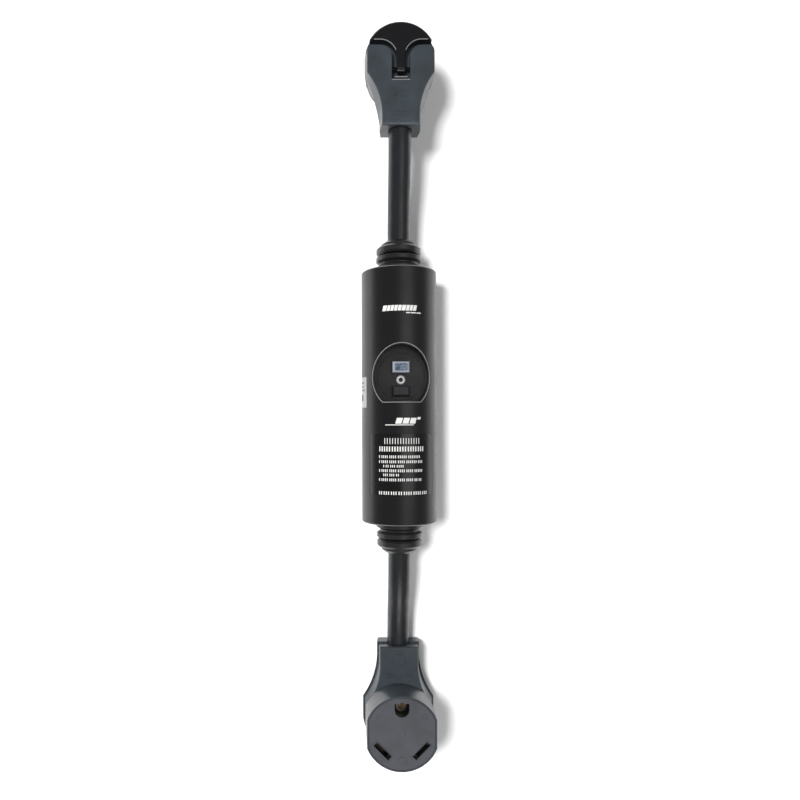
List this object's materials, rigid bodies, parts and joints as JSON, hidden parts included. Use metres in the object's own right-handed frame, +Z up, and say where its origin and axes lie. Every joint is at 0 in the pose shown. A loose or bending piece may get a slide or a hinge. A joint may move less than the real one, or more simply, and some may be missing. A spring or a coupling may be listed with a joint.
{
  "type": "surge protector plug",
  "caption": "Round in-line surge protector for a caravan supply, with push buttons and a light, on short cables to a pull-handle plug and a matching connector.",
  "frame": {"origin": "on the resting plane, below the middle of the round housing", "axes": "+Y along the housing towards the plug, +X to the right, +Z up through the control panel"},
  "size_m": [0.057, 0.5501, 0.057],
  "materials": {
    "housing": "satin black moulded plastic",
    "cap": "satin black moulded plastic",
    "seal": "moulded rubber",
    "steel_screw": "zinc plated",
    "gland": "black nylon",
    "panel": "fine matt black plastic",
    "bezel": "satin plated ring",
    "lens": "clear light lens",
    "reset": "pale blue grey plastic",
    "test": "black plastic",
    "component": "moulded component case",
    "board": "solder masked glass fibre board",
    "carrier": "grey nylon",
    "varistor": "dipped epoxy",
    "contact": "brass",
    "lead": "insulated copper leads",
    "label_black": "printed polyester film",
    "label_silver": "silver polyester film",
    "cable": "black jacket, satin",
    "head": "satin black moulded vinyl",
    "handle": "black moulded plastic, soft sheen",
    "face": "mid grey moulded plastic",
    "pin": "black oxide steel"
  },
  "bodies": {
    "body": {"housing_tube": "housing", "line_end_cap": "cap", "load_end_cap": "cap", "line_cap_seal": "seal", "load_cap_seal": "seal", "line_cap_screws": "steel_screw", "load_cap_screws": "steel_screw", "line_gland_body": "gland", "load_gland_body": "gland", "line_gland_nut": "gland", "load_gland_nut": "gland", "line_gland_seal": "seal", "load_gland_seal": "seal", "line_gland_locknut": "gland", "load_gland_locknut": "gland", "control_panel": "panel", "panel_gasket": "seal", "light_bezel": "bezel", "status_light": "lens", "reset_spring": "steel_screw", "test_spring": "steel_screw", "reset_switch": "component", "test_switch": "component", "circuit_board": "board", "board_carrier": "carrier", "board_screws": "steel_screw", "power_relay": "component", "surge_varistors": "varistor", "thermal_fuse": "varistor", "controller_chip": "component", "current_sensor": "varistor", "line_terminals": "contact", "load_terminals": "contact", "line_leads": "lead", "load_leads": "lead", "instruction_label": "label_black", "rating_label": "label_silver", "line_cable": "cable", "load_cable": "cable", "plug_back_cover": "head", "plug_front_body": "head", "plug_hot_blade": "contact", "plug_neutral_blade": "contact", "plug_ground_pin": "contact", "plug_cable_clamp": "carrier", "plug_screws": "steel_screw", "plug_handle_pin": "pin", "plug_leads": "lead", "connector_back_cover": "head", "connector_front_body": "head", "connector_face": "face", "connector_hot_contact": "contact", "connector_neutral_contact": "contact", "connector_ground_contact": "contact", "connector_cable_clamp": "carrier", "connector_screws": "steel_screw", "connector_leads": "lead"},
    "reset": {"reset_button": "reset"},
    "test": {"test_button": "test"},
    "handle": {"plug_handle": "handle"}
  },
  "joints": [
    {"name": "reset_press", "type": "slide", "parent": "body", "child": "reset", "axis": [0, 0, -1], "range_m": [0, 0.0015], "stiffness_N_per_m": 400, "springref_m": -0.001, "deforming": ["reset_spring"]},
    {"name": "test_press", "type": "slide", "parent": "body", "child": "test", "axis": [0, 0, -1], "range_m": [0, 0.0015], "stiffness_N_per_m": 400, "springref_m": -0.001, "deforming": ["test_spring"]},
    {"name": "handle_fold", "type": "hinge", "parent": "body", "child": "handle", "pos_m": [0, 0.2385, 0.053], "axis": [1, 0, 0], "range_deg": [0, 90]}
  ]
}
